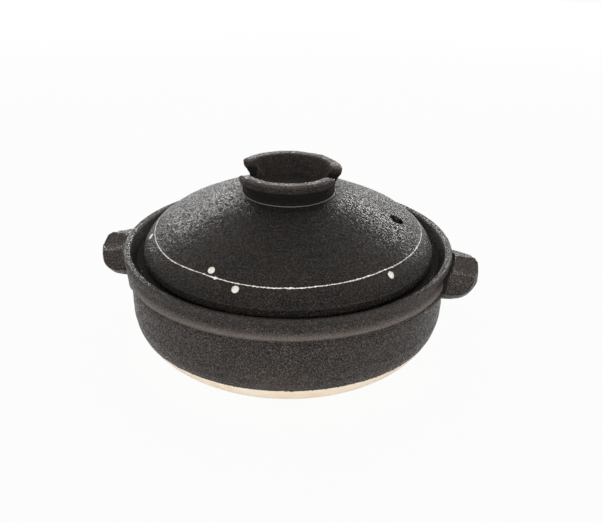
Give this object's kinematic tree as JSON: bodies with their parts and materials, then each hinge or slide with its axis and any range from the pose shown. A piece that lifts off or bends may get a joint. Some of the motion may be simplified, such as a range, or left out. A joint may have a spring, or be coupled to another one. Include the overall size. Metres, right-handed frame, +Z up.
{
  "type": "donabe clay pot",
  "caption": "Round lidded clay cooking pot with a flared collar, lug handles, a domed lid with a steam hole and a notched ring knob; the lid lifts off.",
  "frame": {"origin": "centre of the base, on the surface that the pot stands on", "axes": "+Z up along the pot's axis, +X towards the handle that the steam hole is above"},
  "size_m": [0.3146, 0.2696, 0.153],
  "materials": {
    "pot_glaze": "satin black iron glaze with a fine grain, bare cream clay on the lowest part and the base",
    "handle_glaze": "satin black glaze, browner on the carved edges",
    "lid_glaze": "satin black glaze with a coarse orange-peel grain",
    "knob_glaze": "satin black glaze, thinner and greyer on the edges",
    "white_slip": "matte white slip under a thin clear glaze"
  },
  "bodies": {
    "pot": {"pot_body": "pot_glaze", "handle_left": "handle_glaze", "handle_right": "handle_glaze"},
    "lid": {"lid_shell": "lid_glaze", "lid_knob": "knob_glaze", "lid_slip_line": "white_slip", "lid_slip_dots": "white_slip"}
  },
  "joints": [
    {"name": "lid_lift", "type": "slide", "parent": "pot", "child": "lid", "axis": [0, 0, 1], "range_m": [0, 0.15]}
  ]
}
